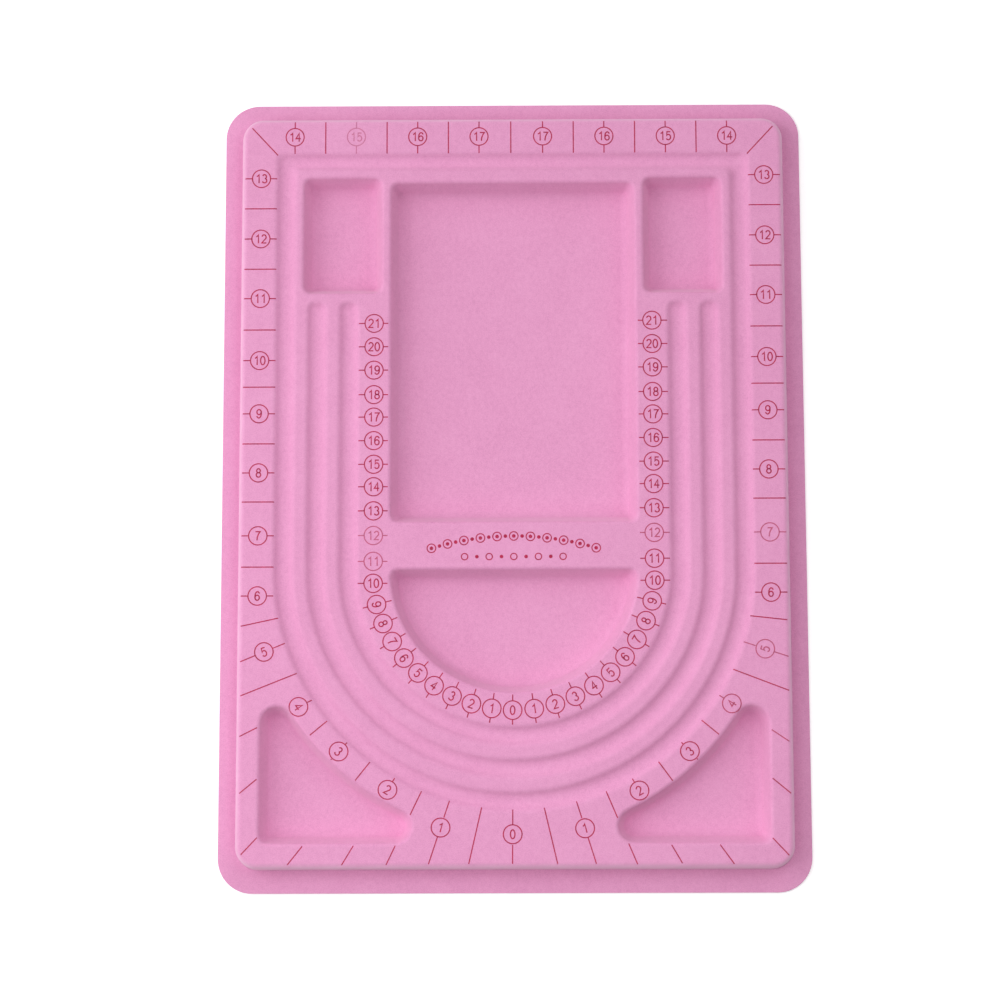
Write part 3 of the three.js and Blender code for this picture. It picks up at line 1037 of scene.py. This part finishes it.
def plastic_material():
    shader = Shader("formed_polystyrene")
    flow = shader.noise(FLOW_SIZE, detail=3.0)
    grain = shader.noise(GRAIN_SIZE)
    scuffs = shader.math("MULTIPLY", shader.specks(*SCUFF_SPECKS), SCUFF_ROUGHNESS)
    height = shader.math("ADD", grain, shader.math("MULTIPLY", flow, FLOW_RELIEF_SHARE))
    shader.bump(height, *PLASTIC_RELIEF)
    shader.set(
        Base_Color=shader.blend(shader.vary(flow, 0.0, 1.0), PLASTIC_DEEP, PLASTIC_PALE),
        Roughness=shader.math("ADD", shader.vary(grain, *PLASTIC_ROUGHNESS), scuffs),
    )
    return shader.material


def glue_material():
    shader = Shader("dried_glue")
    streaks = shader.noise(STREAK_SIZE, detail=3.0)
    shader.bump(streaks, *GLUE_RELIEF)
    shader.set(
        Base_Color=shader.blend(shader.vary(streaks, 0.0, 1.0), GLUE_DEEP, GLUE_PALE),
        Roughness=shader.vary(streaks, *GLUE_ROUGHNESS),
    )
    return shader.material


def ink_material():
    shader = Shader("red_ink")
    fibres = fibre_noise(shader)
    patches = shader.noise(INK_PATCH_SIZE)
    ink = shader.blend(shader.vary(patches, 0.0, 1.0), INK_DEEP, INK_PALE)
    gaps = shader.span(fibres, *INK_GAP_SPAN, 0.0, INK_GAP_SHARE)
    gone = shader.math("ADD", shader.attribute("worn"), gaps)
    shader.bump(fibres, *INK_RELIEF)
    shader.set(
        Base_Color=shader.blend(shader.span(gone, 0.0, 1.0, 0.0, 1.0), ink, FLOCK_MID),
        Roughness=shader.vary(patches, *INK_ROUGHNESS),
        Specular_IOR_Level=INK_SPECULAR,
    )
    return shader.material


# Floor, light and camera

def background_ray(tree):
    """1 where the background is looked at, mirrored or refracted, and 0 where it lights the board."""
    path = tree.nodes.new("ShaderNodeLightPath")
    seen = path.outputs["Is Camera Ray"]
    for kind in ("Is Glossy Ray", "Is Transmission Ray"):
        either = tree.nodes.new("ShaderNodeMath")
        either.operation = "MAXIMUM"
        tree.links.new(seen, either.inputs[0])
        tree.links.new(path.outputs[kind], either.inputs[1])
        seen = either.outputs[0]
    return seen


def floor():
    shader = Shader("white_floor")
    cloud = shader.noise(CLOUD_SIZE)
    glow = shader.span(shader.distance(), FLOOR_GLOW_START * MM, FLOOR_GLOW_END * MM, FLOOR_GLOW, 1.0)
    shader.set(
        Base_Color=shader.blend(cloud, FLOOR_DEEP, FLOOR_PALE),
        Roughness=FLOOR_ROUGHNESS,
        Specular_IOR_Level=0.0,
        Emission_Color=WHITE,
        Emission_Strength=shader.math("MULTIPLY", background_ray(shader.tree), glow),
    )
    half = FLOOR_SIZE / 2
    corners = [(-half, -half, 0), (half, -half, 0), (half, half, 0), (-half, half, 0)]
    piece = mesh_object("floor", corners, [(0, 1, 2, 3)], shader.material)


def sky():
    world = bpy.data.worlds.new("soft_sky")
    bpy.context.scene.world = world
    world.use_nodes = True
    tree = world.node_tree
    background = tree.nodes["Background"]
    background.inputs["Color"].default_value = WHITE
    strength = tree.nodes.new("ShaderNodeMapRange")
    strength.inputs["To Min"].default_value = SKY_STRENGTH
    tree.links.new(background_ray(tree), strength.inputs["Value"])
    tree.links.new(strength.outputs["Result"], background.inputs["Strength"])


def soft_lamp(name, lamp):
    """A round area lamp that faces the middle of the board."""
    light = bpy.data.lights.new(name, "AREA")
    light.shape = "DISK"
    light.size = lamp.size * MM
    light.energy = lamp.power
    azimuth, elevation = math.radians(lamp.azimuth), math.radians(lamp.elevation)
    flat = math.cos(elevation)
    direction = Vector((flat * math.cos(azimuth), flat * math.sin(azimuth), math.sin(elevation)))
    piece = bpy.data.objects.new(name, light)
    piece.location = direction * lamp.distance * MM
    piece.rotation_euler = direction.to_track_quat("Z", "Y").to_euler()
    bpy.context.scene.collection.objects.link(piece)


def camera():
    turn = Matrix.Rotation(math.radians(CAMERA_TILT), 4, "X")
    turn = turn @ Matrix.Rotation(math.radians(CAMERA_YAW), 4, "Y")
    turn = turn @ Matrix.Rotation(math.radians(CAMERA_ROLL), 4, "Z")
    target = Vector(CAMERA_TARGET) * MM
    lens = bpy.data.cameras.new("camera")
    lens.sensor_width = CAMERA_SENSOR
    lens.lens = CAMERA_LENS
    eye = bpy.data.objects.new("camera", lens)
    back = Matrix.Translation((0, 0, CAMERA_DISTANCE * MM))
    eye.matrix_world = Matrix.Translation(target) @ turn @ back
    bpy.context.scene.collection.objects.link(eye)
    bpy.context.scene.camera = eye


layer("formed_shell", "formed_sheet", SHEET_TOP, STACK_THICKNESS, 0, plastic_material())
layer("glue_film", "flock_adhesive", ADHESIVE_TOP, ADHESIVE_BOTTOM, 0, glue_material())
coat = layer("flock_coat", "flock_pile", 0, PILE_THICKNESS, PILE_TRIM_RADIUS, flock_material())

ground = BVHTree.FromPolygons(coat.points, coat.faces)
red_ink = ink_material()
prints = {"inch_print": inch_scale, "centimetre_print": centimetre_scale, "bead_print": bead_row}
for print_name, draw in prints.items():
    marks = Print(ground)
    draw(marks)
    marks.piece(print_name, red_ink)

floor()
sky()
for lamp_name, lamp in LAMPS.items():
    soft_lamp(lamp_name, lamp)
camera()
bpy.context.scene.view_settings.view_transform = "Standard"
